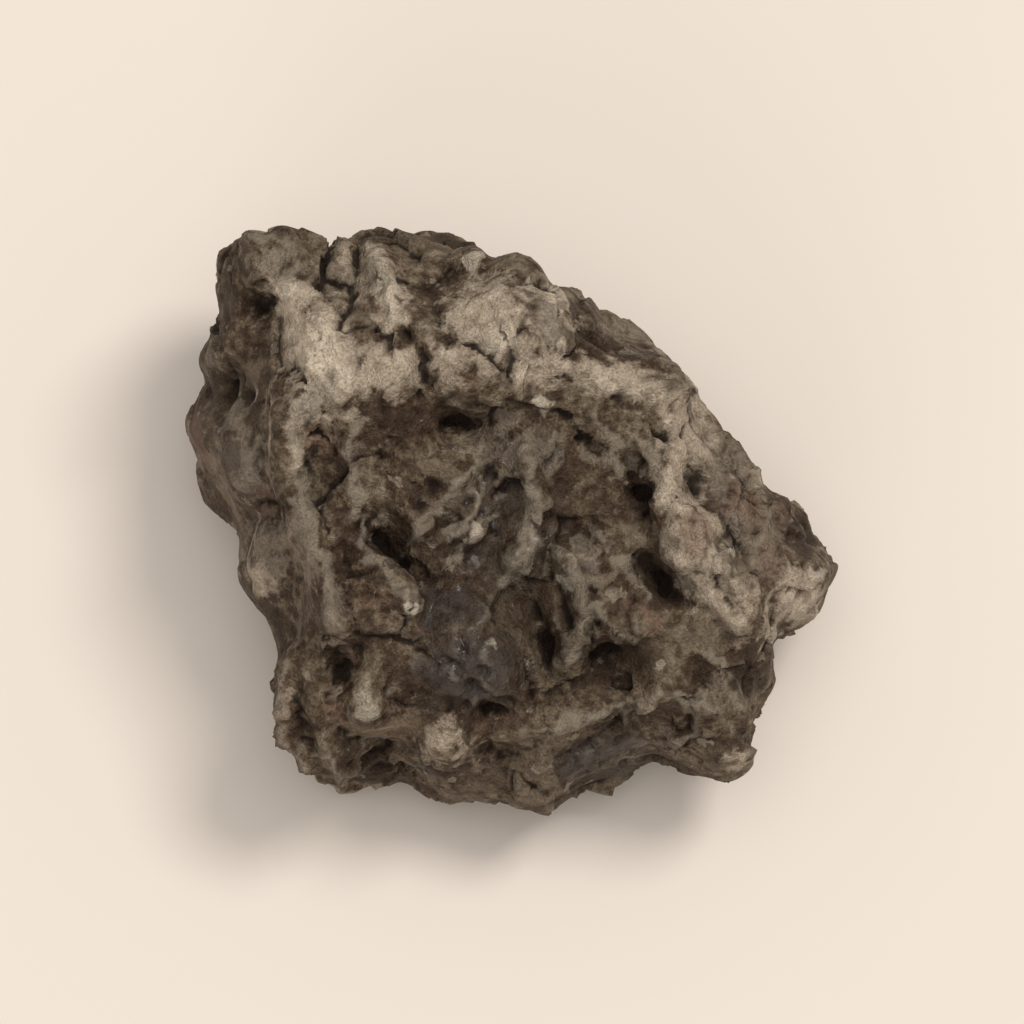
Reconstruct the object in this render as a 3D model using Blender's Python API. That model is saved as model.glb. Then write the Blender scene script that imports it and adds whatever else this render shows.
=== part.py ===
"""A small lunar meteorite: one rough dark stone that lies on a small flat spot.

The stone is laid out as it is seen from a little in front of straight above. A place on it is
given by two numbers in millimetres in that slanted view, right and up, and by its height over
the stone's middle level. +X is to the right, +Y points away and +Z points up.
"""

import math

import bmesh
import bpy
import numpy as np
from mathutils import Vector, noise

MM = 0.001

# The stone's length along X. Everything below is laid out at about this size, in millimetres, and
# the finished stone is brought to it exactly.
LENGTH = 12.9

# The slanted view in which the places below are given.
VIEW_ELEVATION = math.radians(73.2)

# How high the middle level lies over the surface that the stone rests on.
MIDDLE_LEVEL = 4.4

# The widest edge of the stone, clockwise from the knob at the upper left: right, up, and height
# over the middle level. In the view it is the outline.
EDGE = (
    (-5.70, 4.50, 0.4),
    (-5.42, 5.08, 0.6),
    (-5.00, 5.58, 0.8),
    (-4.10, 5.60, 0.7),
    (-3.50, 5.28, -0.1),
    (-3.15, 5.34, -0.3),
    (-2.75, 5.58, -0.4),
    (-1.50, 5.50, -0.5),
    (-0.25, 5.38, -0.3),
    (1.00, 4.62, -0.6),
    (2.03, 4.08, -1.1),
    (2.86, 3.52, -1.5),
    (3.70, 2.70, -1.7),
    (4.27, 1.85, -1.5),
    (4.80, 1.10, -1.2),
    (5.26, 0.45, -0.9),
    (5.73, 0.24, -0.8),
    (6.04, -0.23, -0.9),
    (6.38, -1.00, -1.1),
    (6.20, -1.80, -1.3),
    (5.83, -2.26, -1.5),
    (5.36, -2.60, -1.8),
    (5.31, -3.35, -2.1),
    (4.90, -4.08, -2.2),
    (4.78, -4.92, -2.0),
    (4.43, -5.28, -1.9),
    (3.85, -5.13, -2.2),
    (3.18, -4.90, -2.7),
    (2.55, -5.07, -2.9),
    (1.50, -5.49, -2.8),
    (0.95, -5.78, -2.6),
    (-0.05, -5.73, -2.4),
    (-1.10, -5.65, -2.2),
    (-1.72, -5.39, -2.2),
    (-2.24, -5.14, -2.3),
    (-2.86, -5.33, -2.1),
    (-3.80, -5.23, -1.8),
    (-4.32, -4.50, -1.7),
    (-4.53, -3.77, -1.8),
    (-4.48, -3.05, -2.0),
    (-4.38, -2.65, -2.2),
    (-4.84, -1.90, -2.3),
    (-5.16, -1.17, -2.2),
    (-5.26, -0.54, -2.0),
    (-5.63, -0.02, -1.7),
    (-6.00, 0.81, -1.4),
    (-6.30, 1.75, -1.1),
    (-6.15, 2.27, -0.9),
    (-5.94, 2.58, -0.7),
    (-5.89, 3.05, -0.5),
    (-5.63, 3.52, -0.4),
    (-5.63, 4.04, 0.2),
)
MIDDLE = (-0.3, 0.0)

# How full the upper surface and the underside are: 2 is round, more is squarer.
UPPER_FULLNESS = 3.0
LOWER_FULLNESS = 2.4

# The resting spot: where its middle lies, how far it reaches and how unevenly, and how much is cut
# off there.
REST_PLACE = (-0.3, 0.2)
REST_REACH = 2.2
REST_UNEVENNESS = 0.16
REST_CUT = 0.25
REST_CLEARANCE = 0.12

# Heights of the upper surface over the middle level: right, up, height.
TOP_SPREAD = 0.95
TOP_HEIGHTS = (
    # The knob and the far edge.
    (-4.6, 4.6, 2.4),
    (-3.0, 4.7, 2.3),
    (-1.0, 4.8, 2.6),
    (0.7, 4.2, 2.6),
    # The light ground behind the hollow.
    (-3.3, 3.0, 3.3),
    (-1.8, 2.9, 3.4),
    (-0.2, 3.3, 3.5),
    # The outer slope at the upper right.
    (2.2, 3.5, 2.3),
    (3.4, 2.4, 2.2),
    # The rim that runs down the right side.
    (1.2, 2.8, 3.3),
    (2.3, 2.4, 3.2),
    (3.6, 1.2, 2.9),
    (4.1, -0.6, 2.5),
    (4.6, -2.0, 1.7),
    # The lobe at the far right.
    (5.3, -0.5, 1.3),
    (5.7, -1.5, 0.9),
    # The shoulder that runs down the left side.
    (-4.0, 1.9, 2.9),
    (-3.9, 0.4, 2.8),
    (-3.4, -1.0, 2.5),
    (-3.2, -2.2, 1.8),
    # The slope outside that shoulder.
    (-5.4, 2.3, 1.3),
    (-5.1, 0.6, 1.0),
    (-4.6, -1.2, 0.5),
    # The hollow in the middle.
    (-1.1, 1.4, 1.8),
    (-2.7, 0.9, 1.9),
    (0.6, 0.9, 1.4),
    (2.0, 1.3, 1.6),
    (-1.6, 0.0, 1.5),
    (0.3, -0.2, 1.3),
    (1.5, -0.5, 1.2),
    (2.6, 0.2, 1.4),
    (-1.9, -1.3, 1.4),
    (0.0, -1.2, 1.1),
    (2.2, -1.9, 1.1),
    (3.2, -1.6, 1.5),
    # The glassy swelling and the lobes along the near side.
    (-0.7, -2.8, 1.6),
    (-2.6, -3.6, 1.0),
    (-3.9, -4.0, 0.1),
    (-1.2, -4.7, 0.2),
    (0.5, -5.0, -0.4),
    (1.5, -4.0, 1.0),
    (3.0, -3.6, 1.0),
    (2.3, -4.7, -0.4),
    (4.4, -4.6, -0.3),
)

# Ridges of the upper surface: half width, rise, and the points that the crest follows.
RIDGES = (
    # The rim from the light ground to the right lobe.
    (0.36, 0.50, ((0.8, 3.9), (1.0, 3.1), (2.0, 2.6), (3.9, 2.4))),
    (0.32, 0.55, ((2.6, 1.9), (3.2, 1.1), (3.5, 0.4), (3.7, -0.5), (4.2, -1.1), (4.9, -2.3))),
    # The shoulder on the left.
    (0.36, 0.50, ((-4.1, 2.0), (-4.0, 0.4), (-3.4, -1.0), (-3.2, -2.2))),
    # The curved edges of the lobe at the lower left.
    (0.22, 0.35, ((-4.2, -2.9), (-4.2, -4.0), (-3.7, -4.9), (-3.0, -5.1))),
    (0.18, 0.38, ((-3.6, -3.3), (-3.5, -4.2), (-3.1, -5.0))),
    # The edge of the light ground above the hollow.
    (0.22, 0.42, ((-1.9, 3.8), (-1.4, 3.3), (-1.0, 2.6), (0.1, 2.5))),
    (0.24, 0.40, ((-3.6, 2.2), (-2.7, 2.2), (-1.9, 2.9))),
    # Folds in the hollow.
    (0.17, 0.45, ((-1.9, 1.2), (-2.0, 0.2), (-1.5, -0.4))),
    (0.17, 0.45, ((-0.9, 1.1), (-1.2, 0.5), (-0.6, -0.3))),
    (0.17, 0.50, ((0.5, 1.2), (0.6, 0.2), (0.1, -1.0))),
    (0.17, 0.55, ((1.1, -0.8), (1.5, -1.7), (1.2, -2.8))),
    (0.15, 0.42, ((2.0, -1.7), (2.5, -2.3))),
    (0.16, 0.42, ((-2.7, -0.8), (-1.9, -1.6))),
    # The ledge above the smooth near slope.
    (0.24, 0.35, ((0.3, -3.9), (1.6, -3.6), (3.2, -3.3), (4.3, -3.6))),
)

# Single lumps and hollows: right, up, half width, half length, turn in degrees, rise.
LUMPS = (
    # The knob, and the notch between it and the far edge.
    (-4.70, 4.65, 0.95, 0.90, 0, 0.30),
    (-3.45, 5.20, 0.30, 0.55, -20, -0.50),
    # Clasts on the light ground.
    (-0.25, 3.50, 1.00, 0.90, 0, 0.45),
    (-3.20, 3.15, 0.70, 0.95, 25, 0.25),
    (-2.30, 4.45, 0.28, 0.65, -15, 0.38),
    (-0.60, 5.00, 0.40, 0.30, 0, 0.30),
    (0.50, 4.45, 0.32, 0.26, 0, 0.30),
    # The swelling with a glassy skin, the white clast and the bump on the near rim.
    (-0.65, -2.75, 1.15, 0.80, -10, 0.55),
    (-2.65, -3.60, 0.50, 0.72, 10, 0.50),
    (-1.15, -4.55, 0.48, 0.55, 0, 0.55),
    # The lobe at the far right, and the tip at the lower right.
    (5.60, -1.30, 0.70, 0.75, 0, 0.30),
    (4.40, -4.80, 0.42, 0.55, 20, 0.25),
    # Lumps of the left slope.
    (-5.20, 0.75, 0.65, 0.60, 0, 0.28),
    (-4.75, -0.70, 0.52, 0.45, 0, 0.30),
    (-5.75, 2.90, 0.45, 0.55, 0, 0.22),
    # Dark pits behind the ridge and in the right rim.
    (-4.55, 3.80, 0.42, 0.38, 0, -0.42),
    (1.85, 3.25, 0.75, 0.30, -28, -0.60),
    (2.95, 1.62, 0.36, 0.24, 0, -0.45),
    (3.85, 0.60, 0.42, 0.46, -25, -0.62),
    (5.85, -0.10, 0.35, 0.40, 0, -0.40),
    (-5.35, 2.45, 0.50, 0.45, 0, -0.35),
    (-4.70, 0.10, 0.42, 0.34, 0, -0.28),
    # Deep places of the hollow.
    (-0.85, 1.72, 0.62, 0.30, 0, -0.60),
    (-2.10, -0.55, 0.72, 0.27, -42, -0.75),
    (-3.55, 1.00, 0.30, 0.75, 10, -0.40),
    (2.65, 0.55, 0.36, 0.65, 20, -0.55),
    (3.00, -1.10, 0.85, 0.32, -42, -0.60),
    (0.60, -2.10, 0.36, 0.90, 15, -0.75),
    (2.05, -2.75, 0.50, 0.30, 10, -0.50),
    (-3.10, -2.90, 0.28, 0.48, 15, -0.60),
    (-0.15, -3.80, 0.50, 0.26, 0, -0.50),
    (-2.55, -4.85, 0.45, 0.36, 0, -0.40),
    (0.00, -4.75, 0.50, 0.34, 0, -0.35),
)

# Flat breaks of the sides and the underside: azimuth and elevation of the way they face, and how
# far out they cross the level of the widest edge.
BREAKS = (
    (8, -14, 6.40),
    (28, 12, 5.40),
    (50, 17, 4.45),
    (78, -8, 5.20),
    (104, 14, 5.85),
    (138, -26, 7.20),
    (160, 20, 6.40),
    (184, 8, 5.40),
    (206, -12, 5.05),
    (232, 10, 6.30),
    (262, 14, 5.60),
    (290, 2, 5.80),
    (318, -20, 6.90),
    (338, 16, 6.50),
    (60, -44, 6.60),
    (120, -40, 7.40),
    (176, -50, 7.20),
    (222, -42, 6.90),
    (275, -48, 7.20),
    (330, -42, 7.80),
)

# Lumps and hollows of the sides: azimuth, elevation, half width in degrees, rise.
SIDE_FORMS = (
    (18, -16, 11, 0.35),
    (38, 0, 8, -0.35),
    (64, -22, 12, 0.30),
    (84, -6, 8, -0.40),
    (110, -18, 11, 0.35),
    (136, -4, 7, -0.35),
    (160, -26, 11, 0.30),
    (184, -10, 8, -0.40),
    (210, -24, 12, 0.35),
    (232, -6, 7, -0.35),
    (258, -20, 10, 0.35),
    (284, -30, 9, -0.40),
    (302, -12, 8, 0.30),
    (326, -26, 9, -0.40),
    (350, -36, 10, 0.30),
)

# Roughness all over: how large each kind of form is, and its rise or its slope.
SWELL_SIZE, SWELL_RISE = 3.2, 0.40
FACET_SIZE, FACET_SLOPE = 3.0, 0.52
CHIP_SIZE, CHIP_SLOPE = 1.5, 0.45
TILT_VARIETY = 23
LUMP_SIZE, LUMP_RISE = 1.5, 0.14
CRAG_SIZE, CRAG_RISE = 0.9, 0.12
MOST_RISE = 0.8

# How much of that roughness is missing where the surface is seen from above and at the widest edge.
TOP_QUIET = 0.68
EDGE_QUIET = 0.25
EDGE_BAND = 0.9
LEAST_SHARE = 0.2

# How finely the skin is worked, and how far it is evened out.
GLOBE_LEVELS = 7
OUTLINE_SECTORS = 120
NORMAL_SMOOTHING = 25
EDGE_SMOOTHING = 2
SKIN_GRID = 0.11
TRIANGLES = 9000

STONE_COLOUR = (0.085, 0.066, 0.048, 1.0)
STONE_ROUGHNESS = 0.62


def clear_scene():
    for leftover in list(bpy.data.objects):
        bpy.data.objects.remove(leftover, do_unlink=True)


def far_from_up(up, height):
    """How far back (Y) a point of some height over the middle level lies, as the view shows it."""
    drop = math.cos(VIEW_ELEVATION) * height
    return (up - drop) / math.sin(VIEW_ELEVATION)


def up_in_view(points):
    return math.sin(VIEW_ELEVATION) * points[:, 1] + math.cos(VIEW_ELEVATION) * (points[:, 2] - MIDDLE_LEVEL)


def around_edge(edge, values, azimuth):
    """A value given at each point of a closed edge about the origin, at any azimuth."""
    around = np.arctan2(edge[:, 1], edge[:, 0])
    order = np.argsort(around)
    return np.interp(azimuth, around[order], values[order], period=2 * math.pi)


def widest_edge(azimuth):
    """Distance from the middle to the widest edge, and the edge's height, at any azimuth."""
    right, up, height = np.array(EDGE).T
    edge = np.column_stack((right - MIDDLE[0], far_from_up(up, height) - far_from_up(MIDDLE[1], 0)))
    reach = around_edge(edge, np.hypot(*edge.T), azimuth)
    return reach, MIDDLE_LEVEL + around_edge(edge, height, azimuth)


def azimuth_of(points):
    return np.arctan2(points[:, 1] - far_from_up(MIDDLE[1], 0), points[:, 0] - MIDDLE[0])


def top_height(x, y):
    """Height of the upper surface before its ridges and lumps."""
    total = np.zeros_like(x)
    weights = np.full_like(x, 1e-9)
    for right, up, height in TOP_HEIGHTS:
        apart = (x - right) ** 2 + (y - far_from_up(up, height)) ** 2
        weight = np.exp(-apart / (2 * TOP_SPREAD**2))
        total += weight * height
        weights += weight
    return MIDDLE_LEVEL + total / weights


def base_form(directions):
    """A flattened globe with the stone's outline, its upper surface and a full underside."""
    azimuth = np.arctan2(directions[:, 1], directions[:, 0])
    level = np.hypot(directions[:, 0], directions[:, 1])
    rise = np.abs(directions[:, 2])
    above = directions[:, 2] > 0
    fullness = np.where(above, UPPER_FULLNESS, LOWER_FULLNESS)
    reach, widest = widest_edge(azimuth)
    reach = reach * level ** (2 / fullness)
    x = MIDDLE[0] + reach * np.cos(azimuth)
    y = far_from_up(MIDDLE[1], 0) + reach * np.sin(azimuth)
    share = rise ** (2 / fullness)
    top = widest + (top_height(x, y) - widest) * share
    under = widest - (widest + REST_CUT) * share
    return np.column_stack((x, y, np.where(above, top, under)))


def direction(azimuth, elevation):
    around, over = math.radians(azimuth), math.radians(elevation)
    return np.array(
        (math.cos(over) * math.cos(around), math.cos(over) * math.sin(around), math.sin(over))
    )


def break_flats(points):
    """Press everything that stands beyond a flat break back onto its plane."""
    for azimuth, elevation, reach in BREAKS:
        outward = direction(azimuth, elevation)
        foot = np.array((MIDDLE[0], far_from_up(MIDDLE[1], 0), 0)) + reach * direction(azimuth, 0)
        foot[2] = widest_edge(math.radians(azimuth))[1]
        beyond = np.clip((points - foot) @ outward, 0, None)
        points = points - beyond[:, None] * outward
    return points


def distance_to_path(right, up, path):
    """Distance in the slanted view from each point to a line of straight stretches."""
    nearest = np.full_like(right, np.inf)
    for (r0, u0), (r1, u1) in zip(path, path[1:]):
        along_r, along_u = r1 - r0, u1 - u0
        share = ((right - r0) * along_r + (up - u0) * along_u) / (along_r**2 + along_u**2)
        share = np.clip(share, 0, 1)
        apart = np.hypot(right - r0 - share * along_r, up - u0 - share * along_u)
        nearest = np.minimum(nearest, apart)
    return nearest


def top_relief(points, normals):
    """How far each point is pushed out by the ridges, lumps and hollows seen in the view."""
    right, up = points[:, 0], up_in_view(points)
    rise = np.zeros(len(points))
    for half_width, height, path in RIDGES:
        rise += height * np.exp(-((distance_to_path(right, up, path) / half_width) ** 2))
    for place_right, place_up, half_width, half_length, turn, height in LUMPS:
        cos_turn, sin_turn = math.cos(math.radians(turn)), math.sin(math.radians(turn))
        across = (right - place_right) * cos_turn + (up - place_up) * sin_turn
        along = (up - place_up) * cos_turn - (right - place_right) * sin_turn
        rise += height * np.exp(-((across / half_width) ** 2) - (along / half_length) ** 2)
    return rise * faces_view(normals)


def faces_view(normals):
    """1 where the surface is turned to the slanted view, 0 where it is turned away."""
    to_viewer = np.array((0, -math.cos(VIEW_ELEVATION), math.sin(VIEW_ELEVATION)))
    return np.clip(normals @ to_viewer * 2.5, 0, 1)


def side_relief(directions, normals):
    rise = np.zeros(len(directions))
    for azimuth, elevation, half_width, height in SIDE_FORMS:
        apart = np.degrees(np.arccos(np.clip(directions @ direction(azimuth, elevation), -1, 1)))
        rise += height * np.exp(-((apart / half_width) ** 2))
    return rise * (1 - faces_view(normals))


def tilted_facet(place, size, slope):
    """Rise of a patchwork of tilted flat patches, each of which ends in a small step."""
    centre = noise.voronoi(place / size)[1][0]
    tilt = noise.cell_vector(centre * TILT_VARIETY) - Vector((0.5, 0.5, 0.5))
    return slope * (place - centre * size).dot(tilt)


def roughness(points):
    """Swells, broken facets, rounded lumps with creases, and small crags, from fixed noise."""
    rise = np.empty(len(points))
    for number, point in enumerate(points):
        place = Vector(point)
        near, next_near = noise.voronoi(place / LUMP_SIZE)[0][:2]
        lump = min(next_near - near, 0.5) * 2 - 0.5
        crag = noise.ridged_multi_fractal(place / CRAG_SIZE, 1.0, 2.0, 3, 1.0, 2.0) / 2 - 0.5
        rise[number] = (
            SWELL_RISE * noise.noise(place / SWELL_SIZE)
            + tilted_facet(place, FACET_SIZE, FACET_SLOPE)
            + tilted_facet(place, CHIP_SIZE, CHIP_SLOPE)
            + LUMP_RISE * lump
            + CRAG_RISE * crag
        )
    return rise


def from_rest_place(points):
    """Distance from the middle of the resting spot, less along its longer sides."""
    across, back = points[:, 0] - REST_PLACE[0], points[:, 1] - REST_PLACE[1]
    around = np.arctan2(back, across)
    return np.hypot(across, back) * (1 + REST_UNEVENNESS * (np.sin(2 * around) + np.sin(3 * around)))


def roughness_share(points, normals):
    """Less roughness on top, along the widest edge and over the resting spot."""
    from_edge = (points[:, 2] - widest_edge(azimuth_of(points))[1]) / EDGE_BAND
    share = 1 - TOP_QUIET * faces_view(normals) - EDGE_QUIET * np.exp(-(from_edge**2))
    resting = np.exp(-((from_rest_place(points) / REST_REACH) ** 2)) * (points[:, 2] < 1)
    return np.clip(share, LEAST_SHARE, 1) * (1 - resting)


def fit_outline(points):
    """Draw the relief in or out, most of all at its edge, until the view shows the outline."""
    right, up = points[:, 0] - MIDDLE[0], up_in_view(points) - MIDDLE[1]
    around, reach = np.arctan2(up, right), np.hypot(right, up)
    sector = ((around + math.pi) / (2 * math.pi) * OUTLINE_SECTORS).astype(int) % OUTLINE_SECTORS
    widest = np.zeros(OUTLINE_SECTORS)
    np.maximum.at(widest, sector, reach)
    widest = np.maximum(widest, (np.roll(widest, 1) + np.roll(widest, -1)) / 2)
    widest = widest / 2 + (np.roll(widest, 1) + np.roll(widest, -1)) / 4
    edge = np.array(EDGE)[:, :2] - MIDDLE
    centres = (np.arange(OUTLINE_SECTORS) + 0.5) / OUTLINE_SECTORS * 2 * math.pi - math.pi
    widest_here = np.interp(around, centres, widest, period=2 * math.pi)
    wanted = around_edge(edge, np.hypot(*edge.T), around)
    change = (wanted / widest_here - 1) * np.clip(reach / widest_here, 0, 1) ** 3
    moved = points.copy()
    moved[:, 0] += right * change
    moved[:, 1] += up * change / math.sin(VIEW_ELEVATION)
    return moved


def clear_of_surface(points):
    """Keep the underside off the surface, apart from the resting spot."""
    floor = REST_CLEARANCE * (from_rest_place(points) - REST_REACH)
    lifted = np.where(floor > 0, np.maximum(points[:, 2], floor), points[:, 2])
    return np.column_stack((points[:, :2], lifted))


def broad_normals(shape):
    """The way the surface faces at each point, once its sharp edges are evened out."""
    broad = shape.copy()
    smooth(broad, passes=NORMAL_SMOOTHING)
    broad.normal_update()
    normals = np.array([vertex.normal for vertex in broad.verts])
    broad.free()
    return normals


def set_points(shape, points):
    for vertex, point in zip(shape.verts, points):
        vertex.co = point


def smooth(shape, passes=1):
    for _ in range(passes):
        bmesh.ops.smooth_vert(
            shape, verts=shape.verts, factor=0.5, use_axis_x=True, use_axis_y=True, use_axis_z=True
        )


def modelled_skin():
    """The whole surface in fine triangles, before it is made even."""
    shape = bmesh.new()
    bmesh.ops.create_icosphere(shape, subdivisions=GLOBE_LEVELS, radius=1)
    directions = np.array([vertex.co for vertex in shape.verts])
    points = break_flats(base_form(directions))
    set_points(shape, points)
    smooth(shape)

    points = np.array([vertex.co for vertex in shape.verts])
    normals = broad_normals(shape)
    rise = top_relief(points, normals) + side_relief(directions, normals)
    rise += roughness(points) * roughness_share(points, normals)
    rise = np.clip(rise, -MOST_RISE, MOST_RISE)
    set_points(shape, points + normals * rise[:, None])
    smooth(shape, passes=EDGE_SMOOTHING)
    points = np.array([vertex.co for vertex in shape.verts])
    set_points(shape, clear_of_surface(fit_outline(points)))
    return shape


def even_skin(shape):
    """Remesh the skin into one clean surface and bring it down to its triangles."""
    mesh = bpy.data.meshes.new("stone")
    shape.to_mesh(mesh)
    shape.free()
    stone = bpy.data.objects.new("stone", mesh)
    bpy.context.collection.objects.link(stone)
    grid = stone.modifiers.new("even grid", "REMESH")
    grid.mode = "VOXEL"
    grid.voxel_size = SKIN_GRID
    evaluated = stone.evaluated_get(bpy.context.evaluated_depsgraph_get())
    triangles = sum(len(face.vertices) - 2 for face in evaluated.data.polygons)
    fewer = stone.modifiers.new("fewer triangles", "DECIMATE")
    fewer.ratio = TRIANGLES / triangles
    evaluated = stone.evaluated_get(bpy.context.evaluated_depsgraph_get())
    even = bpy.data.meshes.new_from_object(evaluated)
    stone.modifiers.clear()
    stone.data = even
    bpy.data.meshes.remove(mesh)
    return stone


def separate_skins(shape):
    left = set(shape.verts)
    while left:
        skin, rim = set(), {left.pop()}
        while rim:
            skin |= rim
            rim = {edge.other_vert(vertex) for vertex in rim for edge in vertex.link_edges} - skin
        left -= skin
        yield skin


def close_pockets(shape):
    """Fill the small closed pockets that folds of the skin leave inside the stone."""
    skins = sorted(separate_skins(shape), key=len)
    for pocket in skins[:-1]:
        bmesh.ops.delete(shape, geom=list(pocket), context="VERTS")


def cut_resting_flat(shape):
    """Cut the underside off level, where the stone rests, and close it with one flat face."""
    everything = shape.verts[:] + shape.edges[:] + shape.faces[:]
    cut = bmesh.ops.bisect_plane(
        shape, geom=everything, dist=0.0005, plane_co=(0, 0, 0), plane_no=(0, 0, 1), clear_inner=True
    )
    rim = [item for item in cut["geom_cut"] if isinstance(item, bmesh.types.BMEdge)]
    bmesh.ops.contextual_create(shape, geom=rim)


def centre_on_origin(shape):
    """Put the origin under the middle of the stone's box."""
    points = np.array([vertex.co for vertex in shape.verts])
    middle = (points.min(axis=0) + points.max(axis=0)) / 2
    bmesh.ops.translate(shape, verts=shape.verts, vec=(-middle[0], -middle[1], 0))


def bring_to_size(shape):
    along_x = [vertex.co.x for vertex in shape.verts]
    size = LENGTH * MM / (max(along_x) - min(along_x))
    bmesh.ops.scale(shape, verts=shape.verts, vec=(size, size, size))


def stone_material():
    material = bpy.data.materials.new("stone")
    material.use_nodes = True
    surface = material.node_tree.nodes["Principled BSDF"]
    surface.inputs["Base Color"].default_value = STONE_COLOUR
    surface.inputs["Roughness"].default_value = STONE_ROUGHNESS
    surface.inputs["Metallic"].default_value = 0.0
    return material


def build_stone():
    stone = even_skin(modelled_skin())
    shape = bmesh.new()
    shape.from_mesh(stone.data)
    close_pockets(shape)
    cut_resting_flat(shape)
    centre_on_origin(shape)
    bring_to_size(shape)
    bmesh.ops.recalc_face_normals(shape, faces=shape.faces)
    shape.to_mesh(stone.data)
    shape.free()
    stone.data.shade_smooth()
    stone.data.materials.append(stone_material())
    return stone


def main():
    clear_scene()
    build_stone()


main()
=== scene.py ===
"""The looks of a small lunar meteorite: broken dark breccia with a tan ground, light clasts and a
glassy hollow, on a pale floor.

Places on the stone are given as they are seen from its front and above: millimetres to the right
of the middle of that view and up from it. All lengths are in millimetres, apart from those of the
floor, the lights and SAME_PLACE, which are in metres.
"""

import math

import bmesh
import bpy
import numpy as np
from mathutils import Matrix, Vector, noise


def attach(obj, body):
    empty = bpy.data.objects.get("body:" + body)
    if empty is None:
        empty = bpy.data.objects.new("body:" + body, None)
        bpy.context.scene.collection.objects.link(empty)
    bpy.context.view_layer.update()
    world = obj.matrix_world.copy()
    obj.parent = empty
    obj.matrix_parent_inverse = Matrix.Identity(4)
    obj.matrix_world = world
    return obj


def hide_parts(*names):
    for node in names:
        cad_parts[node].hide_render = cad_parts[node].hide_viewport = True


MM = 0.001

# The view that the places below are given in, and the point in its middle.
VIEW_ELEVATION = math.radians(73.2)
VIEW_MIDDLE = (0.118, -0.157, 4.0)
VIEW_DISTANCE = 340.0
VIEW_WIDTH = 20.34
SENSOR = 36.0

# The fine skin: the grid that it is made on, how near two corners of the solid are one, how often
# its facets and its normals are evened out, how far it may rise or sink, and the height above the
# floor where its relief is full.
SKIN_GRID = 0.0785
SAME_PLACE = 1e-7
FACET_SMOOTHING = 5
NORMAL_SMOOTHING = 12
MOST_RISE = 0.45
REST_BAND = 0.35

# Broken rock, all over the stone. Chips are a size and a slope, vugs are small round holes in the
# cells of a pattern whose number is over VUG_FROM, and the last two values say how far the glaze
# and the straight edges even all of it out.
COARSE_CHIPS = (1.15, 0.32)
FINE_CHIPS = (0.47, 0.28)
ROUGH_PATCH_SIZE = 2.4
CRAG_SIZE = 0.8
CRAG_RISE = 0.04
VUG_SPACING = 0.62
VUG_REACH = 0.34
VUG_FROM = 0.55
VUG_DEPTH = 0.08
SOFT_SIZE = 0.5
SOFT_RISE = 0.02
GLAZE_EVENS = 0.15
EDGE_EVENS = 0.65

# Drawn forms: how sharp, high and wide a ridge is, how uneven along its length, how fast all of
# them fade where the surface turns away, and how they wander: size of the noise and amount.
RIDGE_SHARPNESS = 1.3
RIDGE_RISE = 1.35
RIDGE_SPREAD = 1.25
CREST_SPREAD = 1.15
UNEVEN_SIZE = 0.5
UNEVEN_MIDDLE = 0.8
FACING_GAIN = 2.5
RELIEF_WANDER = (0.42, 0.17)
COLOUR_WANDER = (0.33, 0.24)

# How far out of an oval its mask ends.
GLAZE_REACH = 1.5
ZONE_REACH = 1.6

# Pits and wide hollows: passes that even the surface out, and the depth that counts as full.
PIT_LEVEL = (10, 0.09)
HOLLOW_LEVEL = (90, 0.42)

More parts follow.
